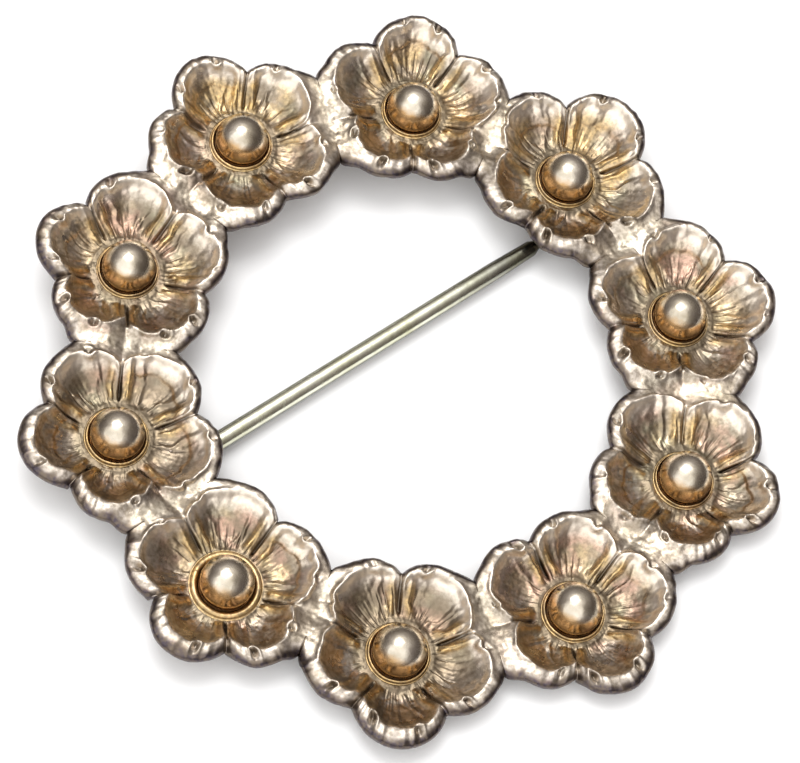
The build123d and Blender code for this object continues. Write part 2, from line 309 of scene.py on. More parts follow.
# Height of the web along its seam (share of crest_height), from the ring's hole outwards
web_table = [
    {"along": -1.00, "height": 0.88},
    {"along": -0.67, "height": 0.80},
    {"along": -0.33, "height": 0.68},
    {"along": 0.00, "height": 0.74},
    {"along": 0.33, "height": 0.88},
    {"along": 0.67, "height": 0.92},
    {"along": 1.00, "height": 0.88},
]


def column(table, name):
    return np.array([row[name] for row in table])


# The ring's own frame, from the middles of the beads
def ball_middle(name):
    low, high = (np.array(corner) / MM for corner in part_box(name))
    radius = (high[0] - low[0]) / 2
    return [(low[0] + high[0]) / 2, (low[1] + high[1]) / 2, high[2] - radius]


bead_names = [f"bead_{number:02d}" for number in range(1, 11)]
ball_middles = np.array([ball_middle(name) for name in bead_names])
ring_up = np.linalg.svd(ball_middles - ball_middles.mean(axis=0))[2][2]
ring_up *= np.sign(ring_up[2])
turn = Vector((0, 0, 1)).rotation_difference(Vector(ring_up)).to_matrix()
ring_axes = np.array(turn)
seat_levels = ball_middles - ring_up * bead_height
ring_origin = np.array([0, 0, seat_levels.mean(axis=0) @ ring_up / ring_up[2]])
centres = ((seat_levels - ring_origin) @ ring_axes)[:, :2]
outward_angles = np.degrees(np.arctan2(centres[:, 1], centres[:, 0]))
blossom_count = len(centres)


def to_world(points):
    # From the ring's own frame in millimetres to metres
    return (np.asarray(points) @ ring_axes.T + ring_origin) * MM


def unit(angle):
    # Way in the ring's plane at an angle in degrees
    angle = np.radians(angle)
    return np.stack([np.cos(angle), np.sin(angle)], axis=-1)


def smooth(share):
    # From 0 to 1 with soft ends
    share = np.clip(share, 0, 1)
    return share * share * (3 - 2 * share)


def rising(value, start, width):
    # From 0 at a start to 1 a width further on
    return smooth((value - start) / width)


def falling(value, end, width):
    # From 1 a width before an end to 0 at the end
    return smooth((end - value) / width)


def bump(distance, width):
    return np.exp(-((distance / width) ** 2))


def lattice(column_number, row_number, seed):
    # A repeatable value between 0 and 1 at each crossing of a grid, another for each seed
    mixed = np.sin(column_number * 127.1 + row_number * 311.7 + seed * 74.7) * 43758.5453
    return mixed - np.floor(mixed)


def noise(x, y, size, seed):
    # Smooth unevenness between -1 and 1, with lumps of that size
    x = x / size
    y = y / size
    left = np.floor(x)
    low = np.floor(y)
    across = smooth(x - left)
    up = smooth(y - low)
    bottom = lattice(left, low, seed) * (1 - across) + lattice(left + 1, low, seed) * across
    high = low + 1
    top = lattice(left, high, seed) * (1 - across) + lattice(left + 1, high, seed) * across
    return (bottom * (1 - up) + top * up) * 2 - 1


# Petals
def petal_at(angle):
    # The petal at an angle, and the share of its half turn from its middle, -1 to 1
    number = np.round(angle / (2 * petal_half)).astype(int)
    across = (angle - number * 2 * petal_half) / petal_half
    return number % len(petal_table), across


def lobe(angle, blossom):
    # Outer edge of the petals
    number, across = petal_at(angle)
    lengths = np.array([petal_lengths[blossom][row["petal"]] for row in petal_table])
    notch = column(petal_table, "notch")[number]
    square = column(petal_table, "square")[number]
    reach = petal_reach * lengths[number]
    reach = reach * (1 - notch * np.abs(across) ** square)
    wave = noise(angle / petal_half, blossom * 3.0 + 0.5, 0.3, 5)
    return reach - edge_margin + edge_wave * wave


def crest_at(angle):
    # Height of the crest, evened out where two petals meet
    number, across = petal_at(angle)
    side = np.abs(across)
    crest = column(petal_table, "crest")
    beside = (number + np.sign(across).astype(int)) % len(petal_table)
    to_beside = 0.5 * smooth((side - 0.6) / 0.4)
    share = crest[number] * (1 - to_beside) + crest[beside] * to_beside
    return crest_height * share * (1 - crest_fall * side**4)


def inset_at(heading_angle):
    # The rolled rim is wider on the side towards the front
    return crest_inset * (1 - front_widening * np.sin(np.radians(heading_angle)))


def crest_wave(angle, blossom):
    # The crest wanders in and out along the rim
    broad = noise(angle / petal_half, blossom * 3.0 + 0.5, 0.34, 38)
    fine = noise(angle / petal_half, blossom * 3.0, 0.13, 39)
    return crest_wave_broad * broad + crest_wave_fine * fine


def chance(number, blossom, seed):
    # The share, 0 to 1, of one petal, fold or vein of a blossom
    return lattice(number * 1.0, blossom * 1.0, seed)


def nicks_of(number, blossom):
    # The two nicks of a petal: where (a share of half a petal), how deep and how wide
    first = 0.25 + 0.4 * chance(number, blossom, 31)
    second = -0.25 - 0.45 * chance(number, blossom, 32)
    first_depth = 0.6 + 0.4 * chance(number, blossom, 33)
    second_depth = smooth(chance(number, blossom, 34) * 1.5)
    width = 0.8 + 0.5 * chance(number, blossom, 35)
    return (first, first_depth, width), (second, second_depth, 2.1 - width)


def seam(index):
    # The line where a blossom meets the next one
    here = centres[index % blossom_count]
    there = centres[(index + 1) % blossom_count]
    middle = (here + there) / 2
    step = there - here
    outward = np.array([-step[1], step[0]]) / np.hypot(*step)
    if outward @ middle < 0:
        outward = -outward
    row = blossom_table[index % blossom_count]
    return middle, outward, web_reach * row["web_inner"], web_reach * row["web_outer"]


def web_height(place, inner, outer):
    # Height of a web at places along its seam
    reach = np.where(place > 0, outer, inner)
    along = column(web_table, "along")
    height = column(web_table, "height")
    return crest_height * np.interp(place / reach, along, height)


def boundary(blossom):
    # Rays of a blossom: its crest point, the way out over the rim and how wide it is, and
    # whether the ray ends on an open rim (1) or on a seam (0)
    centre = centres[blossom]
    turned = outward_angles[blossom]

    def own_angle(point):
        offset = point - centre
        angle = np.degrees(np.arctan2(offset[1], offset[0])) - turned
        return (angle + 180) % 360 - 180

    def open_zone(first, last, count):
        # Each end is (corner, way out)
        start = own_angle(first[0])
        end = own_angle(last[0])
        if end < start:
            end += 360
        angle = np.linspace(start, end, count)
        local = (angle + 180) % 360 - 180
        radius = lobe(local, blossom)
        way = unit(angle + turned)
        for corner, corner_way, corner_angle in ((*first, start), (*last, end)):
            weight = smooth(1 - np.abs(angle - corner_angle) / web_blend_angle)
            gap = np.hypot(*(corner - centre)) - np.interp(corner_angle, angle, radius)
            radius = radius + gap * weight
            way = way * (1 - weight[:, None]) + corner_way * weight[:, None]
        way /= np.hypot(way[:, 0], way[:, 1])[:, None]
        edge = centre + unit(angle + turned) * radius[:, None]
        inset = inset_at(np.degrees(np.arctan2(way[:, 1], way[:, 0])))
        from_corner = np.minimum(angle - start, end - angle)
        inset = inset + crest_wave(local, blossom) * smooth(from_corner / web_blend_angle)
        return edge - way * inset[:, None], way, inset, np.ones(count)

    def seam_ends(index):
        # The corners at the two ends of a seam, and the way out there
        middle, outward, inner, outer = seam(index)
        return (middle + outward * outer, outward), (middle - outward * inner, -outward)

    def seam_zone(index, inwards):
        # Rays that end on a seam, in the order that goes round the blossom
        middle, outward, inner, outer = seam(index)
        outer_angle = np.degrees(np.arctan2(outward[1], outward[0]))
        first = outer - inset_at(outer_angle)
        last = inset_at(outer_angle + 180) - inner
        place = np.linspace(first, last, seam_rays + 2)[1:-1]
        if not inwards:
            place = place[::-1]
        point = middle + outward * place[:, None]
        way = np.repeat(outward[None], seam_rays, axis=0)
        return point, way, np.zeros(seam_rays), np.zeros(seam_rays)

    right_high, right_low = seam_ends(blossom)
    left_high, left_low = seam_ends(blossom - 1)
    zones = [
        open_zone(right_high, left_high, outer_rays),
        seam_zone(blossom - 1, True),
        open_zone(left_low, right_low, inner_rays),
        seam_zone(blossom, False),
    ]
    return [np.concatenate(parts) for parts in zip(*zones)]


def petal_place(blossom, point):
    # Where points lie: from the blossom's centre, in their petal and from the crest
    offset = point - centres[blossom]
    radius = np.hypot(offset[..., 0], offset[..., 1])
    angle = np.degrees(np.arctan2(offset[..., 1], offset[..., 0])) - outward_angles[blossom]
    angle = (angle + 180) % 360 - 180
    number, across = petal_at(angle)
    crest_radius = lobe(angle, blossom) - inset_at(angle + outward_angles[blossom])
    crest_radius = crest_radius - crest_wave(angle, blossom)
    nicks = []
    for nick_turn, depth, width in nicks_of(number, blossom):
        along_crest = (across - nick_turn) * np.radians(petal_half) * radius
        curl = bump(along_crest, nick_curl_width * width)
        crest_radius = crest_radius - nick_curl * depth * curl
        nicks.append((along_crest, depth, width))
    share = np.clip((radius - bowl_edge_radius) / (crest_radius - bowl_edge_radius), 0, 1)
    return SimpleNamespace(
        x=point[..., 0],
        y=point[..., 1],
        radius=radius,
        angle=angle,
        number=number,
        across=across,
        side=np.abs(across),
        back=smooth(back_middle + back_slope * offset[..., 1] / np.clip(radius, 0.1, None)),
        share=share,
        from_crest=radius - crest_radius,
        outside=np.clip(radius - crest_radius, 0, None),
        swell=np.sin(np.pi * share**swell_power),
        nicks=nicks,
    )


def add_folds(level, blossom, at):
    # Folds and clefts, by their distance from the line between two petals, where one
    # petal lies a little over the other
    half_petal = at.number + 5 * (at.across > 0)
    from_cleft = (1 - at.side) * np.radians(petal_half) * at.radius
    own_row = np.sign(at.across) * 7.0 + at.number * 3.0
    wander = fold_wander * noise(at.radius * 2, own_row, 1.1, 41 + blossom)
    fold = bump(from_cleft - fold_place - wander, fold_width) * rising(at.share, *fold_start)
    fold = fold * falling(at.share, *fold_end)
    fold_share = fold_least + fold_spread * chance(half_petal, blossom, 42)
    cleft = bump(from_cleft, cleft_width) * rising(at.share, *cleft_start)
    cleft = cleft * smooth(1 - at.outside / cleft_end)
    line_number = np.floor(at.angle / (2 * petal_half))
    upper_side = np.where(chance(line_number, blossom, 49) > 0.5, 1, -1)
    lifted = np.sign(at.across) * upper_side * np.exp(-from_cleft / overlap_reach)
    lifted = lifted * rising(at.share, *overlap_start)
    level = level + overlap * lifted * smooth(1 - at.outside / overlap_end)
    second = bump(from_cleft - second_fold_place - 2 * wander, second_fold_width) * at.swell
    second = second * chance(half_petal, blossom, 43)
    level = level + fold_rise * fold * fold_share + second_fold_rise * second
    return level - cleft_depth * cleft, np.clip(fold * fold_share, 0, 1), cleft


def add_veins(level, blossom, at):
    # Engraved veins from the seat outwards, each of its own length
    wander = vein_wander * noise(at.radius, at.number, vein_wander_length, 44 + blossom)
    turn_place = at.angle / vein_step + wander
    number = np.round(turn_place)
    from_vein = np.abs(turn_place - number) * np.radians(vein_step) * at.radius
    start = vein_start + vein_start_spread * chance(number, blossom, 52)
    end = vein_end + vein_end_spread * chance(number, blossom, 45)
    vein = np.clip(1 - from_vein / vein_width, 0, 1) * smooth(chance(number, blossom, 50) * 2)
    vein = vein * (vein_in_front + (1 - vein_in_front) * at.back)
    vein = vein * rising(at.radius, start, vein_starting)
    vein = vein * falling(at.radius, end, vein_ending)
    vein = vein * rising(at.radius, *vein_clear)
    return level - vein_depth * vein, vein


def add_step(level, blossom, at):
    # A curved step across the spoon, on some of the petals
    strength = smooth(chance(at.number, blossom, 46) * 2 - step_rarity)
    place = step_place + step_spread * chance(at.number, blossom, 47)
    place = place - step_curve * at.side**2
    place = place + step_wander * noise(at.angle / step_wander_angle, blossom, 1.0, 48)
    in_petal = falling(at.side, 1, step_side) * strength
    step = smooth((at.share - place) / step_width + 0.5) * in_petal
    level = level + step_rise * (step - strength * rising(at.share, *step_sink))
    return level, bump(at.share - place, step_edge_width) * in_petal


def add_rim(level, at):
    # The rolled crest, and nicks curled into it
    roll = bump(at.from_crest + crest_roll_in, crest_roll_width)
    roll = roll * falling(at.side, *crest_roll_end)
    level = level + crest_roll_rise * roll
    nick = 0.0
    dent = 0.0
    for along_crest, depth, width in at.nicks:
        out = (at.from_crest - nick_out) * (nick_stretch - nick_stretch_by_width * width)
        distance = np.hypot(along_crest, out) / width
        distance = distance + nick_wander * noise(at.x, at.y, nick_wander_size, 36)
        pit = bump(distance, nick_radius) * depth
        from_lip = distance - nick_lip_place * nick_radius
        lip = bump(from_lip, nick_lip_width * nick_radius) * depth
        dent = dent + nick_lip_rise * lip - nick_depth * pit
        nick = np.maximum(nick, pit)
    return level + dent, roll, nick, dent


def add_unevenness(level, blossom, at, roll):
    # Lumps of the casting, each kind with its rise, its size and where it shows
    for rise, size, seed, where in (
        (0.03, 0.9, 21, at.swell),
        (0.016, 0.28, 22, 1.0),
        (0.009, 0.13, 23, 1.0),
        (0.02, 0.2, 26, roll),
        (0.02, 0.24, 29, smooth((at.share - 0.5) / 0.3)),
    ):
        level = level + rise * noise(at.x, at.y, size, seed) * where
    streak = noise(at.angle / streak_angle, at.radius / streak_length, 1.0, 53 + blossom)
    return level + streak_rise * streak * at.swell


def join_webs(level, blossom, at, point):
    # Near a seam the surface goes over into the smooth web
    web = 0.0
    for index in (blossom, blossom - 1):
        middle, outward, inner, outer = seam(index)
        place = (point - middle) @ outward
        from_seam = np.abs((point - middle) @ np.array([outward[1], -outward[0]]))
        over_crest = smooth(at.outside / web_blend_width + web_at_crest)
        near = smooth(1 - from_seam / web_plateau) * over_crest
        near = np.where(from_seam < web_seam, 1.0, near)
        web_level = web_height(place, inner, outer) + 0.035 * noise(at.x, at.y, 0.7, 24)
        web_level = web_level + 0.045 * noise(place, from_seam / 3, 0.42, 25 + index % 10)
        web_level = web_level + 0.014 * noise(at.x, at.y, 0.16, 28)
        level = level * (1 - near) + web_level * near
        web = np.maximum(web, near)
    return level, web


def relief(blossom, point):
    # Upper and lower surface of a blossom over points of its plan, and named marks
    at = petal_place(blossom, point)
    spoon_rise = crest_at(at.angle) - bowl_edge_height
    spoon = bowl_edge_height + spoon_rise * at.share**spoon_power
    hollow = hollow_depth * at.swell * (1 - at.side**2)
    level = spoon - hollow - outer_fall * at.outside
    level, fold, cleft = add_folds(level, blossom, at)
    level, vein = add_veins(level, blossom, at)
    level, step_edge = add_step(level, blossom, at)
    level, roll, nick, dent = add_rim(level, at)
    level = add_unevenness(level, blossom, at, roll)
    level, web = join_webs(level, blossom, at, point)

    clear = 1 - web
    # Wear of the gilding, paler at the back as painted light
    wear = wear_least + paler_at_back * at.back + wear_spread * noise(at.x, at.y, wear_size, 37)
    marks = {
        # Gold along the fold ridges is a painted golden sheen
        "fold": fold * clear,
        "cleft": cleft * clear,
        "vein": vein * clear,
        "rim": roll * clear,
        # Painted highlight on the outer part of the back petals
        "lit": rising(at.share, *lit_start) * at.back * clear,
        # Painted shade on the front petals
        "grey": (1 - at.back) * rising(at.share, *front_shade_start) * clear,
        "nick": nick * clear,
        "step": step_edge * clear,
        "web": web,
        "dent": (dent - cleft_depth * cleft) * clear,
        "dark": bump(at.radius - dark_ring[0], dark_ring[1]) * clear,
        "back": at.back,
        "worn": rising(at.share, *worn_start) * wear * clear,
    }
    # The smooth surface underneath, which stays clear of the floor
    under = np.minimum(spoon - under_hollow * hollow - metal, level - least_metal)
    floor_level = under_least + under_slope * np.clip(at.radius - seat_radius, 0, None)
    return level, np.maximum(under, floor_level), marks


def seat_ring(blossom):
    # Radius, half width and rise of the raised ring round a seat
    row = blossom_table[blossom]
    return row["ring_radius"], row["ring_half"], seat_ring_rise


def blossom_surface(blossom):
    # Rows of points from the peg hole over the rim and back underneath, their marks, and
    # the numbers of the points on the seams
    crest, way, inset, is_open = boundary(blossom)
    centre = centres[blossom]
    count = len(crest)
    heading = crest - centre
    heading = heading / np.hypot(heading[:, 0], heading[:, 1])[:, None]
    rows = []
    marks = []

    def add_row(point, level, **named):
        level = np.broadcast_to(level, (count,))
        rows.append(np.column_stack([point, level]))
        marks.append({name: np.broadcast_to(value, (count,)) for name, value in named.items()})

    # The seat, its raised ring and the way out to the bowl
    ring_middle, ring_half, ring_rise = seat_ring(blossom)
    ring_inside = ring_middle - ring_half - ring_gap
    for radius in (hole_radius, seat_radius - seat_margin, ring_inside):
        add_row(centre + heading * radius, metal, seat=1.0)
    turn_angle = np.degrees(np.arctan2(heading[:, 1], heading[:, 0]))
    worn = 1 + ring_wear * noise(turn_angle / 25, blossom * 2.0, 1.0, 51)
    for place in np.linspace(-1, 1, ring_rows):
        rise = ring_rise * (1 - place**2) ** 0.5 * worn
        radius = ring_middle + ring_half * place
        add_row(centre + heading * radius, metal + ring_foot + rise, ring=1.0)
    inner_edge = centre + heading * (ring_middle + ring_half + ring_margin)
    for share in np.linspace(0, 1, bowl_rows):
        point = inner_edge + (crest - inner_edge) * share
        level, under, named = relief(blossom, point)
        add_row(point, level, **named)
    crest_level = level
    crest_row = len(rows) - 1
    crest_under = np.minimum(under, crest_level - metal)
    rim_level = crest_level - named["dent"]

    # Over the rim and down the skirt; on a seam, straight down through the metal. The dark
    # outside, tarnish with a painted dark reflection, starts nearer to the crest at the back
    # and round the outside of the ring. The front rims get a painted shade
    outwards = np.clip(way @ centre / np.hypot(*centre), 0, 1)
    dark_from = dark_start - dark_at_back * np.clip(way[:, 1], 0, 1) - dark_outwards * outwards
    dark_from = dark_from + dark_waver * noise(crest[:, 0], crest[:, 1], 0.4, 30)
    # Share of the painted shade on the rims towards the blossom's front
    to_front = smooth(front_middle - back_slope * way[:, 1])
    for step in np.linspace(0, 1, rim_rows + 1)[1:]:
        turn_share = np.clip(step / rim_turn, 0, 1) * np.pi / 2
        reach = np.sin(turn_share)
        below = np.clip((step - rim_turn) / (1 - rim_turn), 0, 1)
        drop = shoulder_drop * (1 - np.cos(turn_share)) + (skirt_drop - shoulder_drop) * below
        point = crest + way * (inset * reach * is_open)[:, None]
        from_dent = smooth(np.full(count, reach / rim_dent_end))
        top = crest_level * (1 - from_dent) + rim_level * from_dent
        lump = noise(point[:, 0], point[:, 1], 0.42, 27)
        lump = lump + 0.6 * noise(turn_angle / 4, reach, 0.9, 40)
        lump = rim_lump * lump * reach * (1 - below)
        level = (top - drop + lump) * is_open + (crest_level - metal * step) * (1 - is_open)
        outside = smooth((reach - dark_from) / dark_softness) * is_open
        rim = (1 - outside) * is_open
        add_row(point, level, outside=outside, rim=rim, grey_rim=rim * to_front)
    foot_level = (rim_level - skirt_drop) * is_open + (crest_level - metal) * (1 - is_open)
    for share in (0.5, 1.0):
        point = crest + way * ((inset - metal * share) * is_open)[:, None]
        add_row(point, foot_level, outside=is_open)
    point = crest + way * ((inset - metal - skirt_back) * is_open)[:, None]
    add_row(point, crest_under, outside=is_open)

    # Back underneath to the seat, darkened with tarnish and painted shade
    for share in np.linspace(0.9, 0, lower_rows):
        flat = inner_edge + (crest - inner_edge) * share
        level, under, _ = relief(blossom, flat)
        add_row(flat, under, outside=under_shade_and_tarnish)
    for radius in (seat_radius, hole_radius):
        add_row(centre + heading * radius, seat_underside, outside=under_shade_and_tarnish)
    seam_corners = crest_row * count + np.flatnonzero(is_open == 0)
    return np.array(rows), marks, seam_corners


def grid_faces(row_count, ray_count):
    # Faces of closed rows, where the last row meets the first
    row = np.arange(row_count)[:, None]
    ray = np.arange(ray_count)[None]
    next_row = (row + 1) % row_count
    next_ray = (ray + 1) % ray_count
    corners = [
        row * ray_count + ray,
        next_row * ray_count + ray,
        next_row * ray_count + next_ray,
        row * ray_count + next_ray,
    ]
    shape = (row_count, ray_count)
    return np.stack([np.broadcast_to(corner, shape).ravel() for corner in corners], axis=1)


def make_mesh(name, points, faces, marks, material, sharp_corners=()):
    mesh = bpy.data.meshes.new(name)
    mesh.from_pydata(to_world(points).tolist(), [], faces.tolist())
    for mark, values in marks.items():
        layer = mesh.attributes.new(mark, "FLOAT", "POINT")
        layer.data.foreach_set("value", np.asarray(values, dtype=np.float32))
    mesh.polygons.foreach_set("use_smooth", np.ones(len(mesh.polygons), dtype=bool))
    edge_ends = np.empty(2 * len(mesh.edges), dtype=np.int32)
    mesh.edges.foreach_get("vertices", edge_ends)
    is_sharp = np.isin(edge_ends.reshape(-1, 2), sharp_corners).all(axis=1)
    mesh.attributes.new("sharp_edge", "BOOLEAN", "EDGE").data.foreach_set("value", is_sharp)
    mesh.materials.append(material)
    mesh.update()
    made = bpy.data.objects.new(name, mesh)
    bpy.context.scene.collection.objects.link(made)
    return made


# Materials
def new_material(name):
    material = bpy.data.materials.new(name)
    material.use_nodes = True
    return material, material.node_tree.nodes, material.node_tree.links


def put(links, socket, value):
    # A plain value, or another node's output
    if isinstance(value, bpy.types.NodeSocket):
        links.new(value, socket)
    else:
        socket.default_value = value


def attribute(nodes, name):
    node = nodes.new("ShaderNodeAttribute")
    node.attribute_name = name
    return node.outputs["Fac"]


def mix_colour(nodes, links, share, first, second):
    node = nodes.new("ShaderNodeMix")
    node.data_type = "RGBA"
    put(links, node.inputs[0], share)
    put(links, node.inputs[6], first)
    put(links, node.inputs[7], second)
    return node.outputs[2]


def maths(nodes, links, operation, *values):
    node = nodes.new("ShaderNodeMath")
    node.operation = operation
    for socket, value in zip(node.inputs, values):
        put(links, socket, value)
    return node.outputs[0]


def scaled(nodes, links, value, factor):
    return maths(nodes, links, "MULTIPLY", value, factor)


def dot(nodes, links, vector, way):
    node = nodes.new("ShaderNodeVectorMath")
    node.operation = "DOT_PRODUCT"
    links.new(vector, node.inputs[0])
    node.inputs[1].default_value = way
    return node.outputs["Value"]


def ramp(nodes, links, value, *stops):
    node = nodes.new("ShaderNodeValToRGB")
    elements = node.color_ramp.elements
    while len(elements) < len(stops):
        elements.new(0.5)
    for element, (place, shade) in zip(elements, stops):
        element.position = place
        element.color = (shade, shade, shade, 1) if isinstance(shade, float) else shade
    links.new(value, node.inputs[0])
    return node.outputs[0]


def noise_value(nodes, links, scale, detail=3.0):
    place = nodes.new("ShaderNodeTexCoord")
    node = nodes.new("ShaderNodeTexNoise")
    node.inputs["Scale"].default_value = scale
    node.inputs["Detail"].default_value = detail
    links.new(place.outputs["Object"], node.inputs["Vector"])
    return node.outputs["Fac"]


def patches(nodes, links, scale, detail, starts, full, most):
    # Irregular patches that start at one value of the noise and are full at another
    value = noise_value(nodes, links, scale, detail)
    return ramp(nodes, links, value, (starts, 0.0), (full, most))


def uneven_roughness(nodes, links, scale, smoothest, roughest):
    value = noise_value(nodes, links, scale)
    return ramp(nodes, links, value, (0.3, smoothest), (0.7, roughest))


def fine_relief(nodes, links, scale, detail, strength):
    node = nodes.new("ShaderNodeBump")
    node.inputs["Strength"].default_value = strength
    node.inputs["Distance"].default_value = fine_relief_depth
    links.new(noise_value(nodes, links, scale, detail), node.inputs["Height"])
    links.new(node.outputs["Normal"], nodes["Principled BSDF"].inputs["Normal"])


def gilt_material():
    # Each mark of the relief, and each kind of patch, lays its colour over those before it
    material, nodes, links = new_material("gilt_silver")
    shader = nodes["Principled BSDF"]
    shader.inputs["Metallic"].default_value = 1.0
    champagne = (0.52, 0.42, 0.315, 1)
    umber = (0.185, 0.145, 0.10, 1)
    brown = (0.10, 0.078, 0.05, 1)
    gold = (0.78, 0.53, 0.21, 1)
    rose = (0.72, 0.43, 0.33, 1)
    pale = (0.80, 0.72, 0.59, 1)
    silver = (0.75, 0.67, 0.57, 1)
    bright = (0.90, 0.80, 0.68, 1)
    amber = (0.45, 0.27, 0.13, 1)
    olive = (0.36, 0.36, 0.24, 1)
    shade_taupe = (0.43, 0.38, 0.345, 1)
    soot = (0.06, 0.047, 0.038, 1)
    tarnish_and_shade_purple = (0.07, 0.058, 0.072, 1)
    patch_table = {
        "blotch": {"scale": 420.0, "detail": 3.0, "starts": 0.35, "full": 0.62, "most": 1.0},
        "green": {"scale": 650.0, "detail": 5.0, "starts": 0.52, "full": 0.66, "most": 0.6},
        "gold": {"scale": 430.0, "detail": 5.0, "starts": 0.46, "full": 0.60, "most": 1.0},
        "rose": {"scale": 520.0, "detail": 5.0, "starts": 0.52, "full": 0.62, "most": 1.0},
        "stain": {"scale": 1100.0, "detail": 6.0, "starts": 0.48, "full": 0.66, "most": 0.6},
        "grain": {"scale": 5200.0, "detail": 4.0, "starts": 0.40, "full": 0.62, "most": 0.55},
    }
    patch = {name: patches(nodes, links, **row) for name, row in patch_table.items()}
    for tint in ("gold", "rose"):
        patch[tint] = scaled(nodes, links, patch[tint], attribute(nodes, tint))
    # Stains and grain are kept off the painted highlight
    spared = ramp(nodes, links, attribute(nodes, "lit"), (0.0, 1.0), (0.9, 0.2))
    for dirt in ("stain", "grain"):
        patch[dirt] = scaled(nodes, links, patch[dirt], spared)
    colour = mix_colour(nodes, links, patch["blotch"], umber, champagne)
    colour = mix_colour(nodes, links, patch["green"], colour, olive)
    for weight, share, shade in (
        ("worn", 0.85, pale),
        (patch["gold"], 0.75, gold),
        (patch["rose"], 0.8, rose),
        ("tarnish", 0.6, umber),
        # Painted shade on the front petals
        ("grey", 0.6, shade_taupe),
        ("dark", 0.85, brown),
        # Painted golden sheen along the fold ridges
        ("fold", 0.7, gold),
        ("step", 0.5, amber),
        ("web", 0.65, pale),
        # Painted highlight on the back petals
        ("lit", 0.9, bright),
        ("vein", 0.75, soot),
        ("seat", 1.0, amber),
        ("ring", 0.6, gold),
        ("rim", 1.0, silver),
        # Painted shade on the front rims
        ("grey_rim", 0.4, shade_taupe),
        ("cleft", 0.9, soot),
        ("nick", 0.95, soot),
        # Tarnish with a painted dark reflection and shade outside the rim, underneath and on
        # the fittings
        ("outside", 0.97, tarnish_and_shade_purple),
    ):
        if isinstance(weight, str):
            weight = attribute(nodes, weight)
        weight = scaled(nodes, links, weight, share)
        colour = mix_colour(nodes, links, weight, colour, shade)
    colour = mix_colour(nodes, links, patch["stain"], colour, umber)
    colour = mix_colour(nodes, links, patch["grain"], colour, umber)
    links.new(colour, shader.inputs["Base Color"])
    rough = uneven_roughness(nodes, links, 900.0, 0.24, 0.40)
    rim_share = scaled(nodes, links, attribute(nodes, "rim"), 0.7)
    rough = mix_colour(nodes, links, rim_share, rough, (0.42, 0.42, 0.42, 1))
    links.new(rough, shader.inputs["Roughness"])
    fine_relief(nodes, links, 3000.0, 6.0, 0.45)
    return material


def polished_material(name, colour, worn, edge, way, unevenness, painted_reflection_stops, scale):
    # Polished where it faces a way that is fixed to the piece, with a painted reflection in
    # the edge colour on the flanks
    material, nodes, links = new_material(name)
    shader = nodes["Principled BSDF"]
    shader.inputs["Metallic"].default_value = 1.0
    blotch = patches(nodes, links, scale, 3.0, 0.35, 0.7, 1.0)
    mixed = mix_colour(nodes, links, blotch, colour, worn)
    facing = dot(nodes, links, nodes.new("ShaderNodeTexCoord").outputs["Normal"], way)
    waver = noise_value(nodes, links, scale * 2.2)
    facing = maths(nodes, links, "MULTIPLY_ADD", waver, unevenness, facing)
    # Painted reflection on the flanks, by which way the surface faces
    stain = ramp(nodes, links, facing, *painted_reflection_stops)
    mixed = mix_colour(nodes, links, stain, mixed, edge)
    rough = uneven_roughness(nodes, links, scale * 2, 0.16, 0.30)
    links.new(rough, shader.inputs["Roughness"])
    fine_relief(nodes, links, scale * 2.5, 4.0, 0.5)
    return material, nodes, links, mixed


def bead_material():
    material, nodes, links, mixed = polished_material(
        "polished_silver",
        colour=(0.63, 0.57, 0.48, 1),
        worn=(0.36, 0.31, 0.23, 1),
        # Amber on the flanks: a painted reflection of the blossom
        edge=(0.45, 0.28, 0.13, 1),
        way=tuple(ring_axes @ np.array([0.0, 0.42, 0.91])),
        unevenness=0.3,
        painted_reflection_stops=((0.40, 1.0), (0.64, 0.0)),
        scale=900.0,
    )
    links.new(mixed, nodes["Principled BSDF"].inputs["Base Color"])
    return material


def stem_material():
    # A painted dark olive reflection on the flanks, and a painted shadow, near black, at the
    # hinge end under the blossoms
    material, nodes, links, mixed = polished_material(
        "plain_silver",
        colour=(0.84, 0.84, 0.70, 1),
        worn=(0.62, 0.62, 0.42, 1),
        edge=(0.10, 0.10, 0.05, 1),
        way=tuple(ring_axes @ np.array([0.15, -0.35, 0.92])),
        unevenness=0.1,
        painted_reflection_stops=((0.40, 1.0), (0.67, 0.0)),
        scale=700.0,
    )
    distance = nodes.new("ShaderNodeVectorMath")
    distance.operation = "DISTANCE"
    links.new(nodes.new("ShaderNodeTexCoord").outputs["Object"], distance.inputs[0])
    distance.inputs[1].default_value = tuple(hinge_world)
    # Painted shadow of the blossoms over the hinge end
    soot = ramp(nodes, links, distance.outputs["Value"], (0.0032, 0.93), (0.0050, 0.0))
    mixed = mix_colour(nodes, links, soot, mixed, (0.03, 0.025, 0.02, 1))
    links.new(mixed, nodes["Principled BSDF"].inputs["Base Color"])
    return material


rivet_low, rivet_high = (np.array(corner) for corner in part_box("hinge_rivet"))
hinge_world = (rivet_low + rivet_high) / 2
gilt = gilt_material()
bead_silver = bead_material()
stem_silver = stem_material()

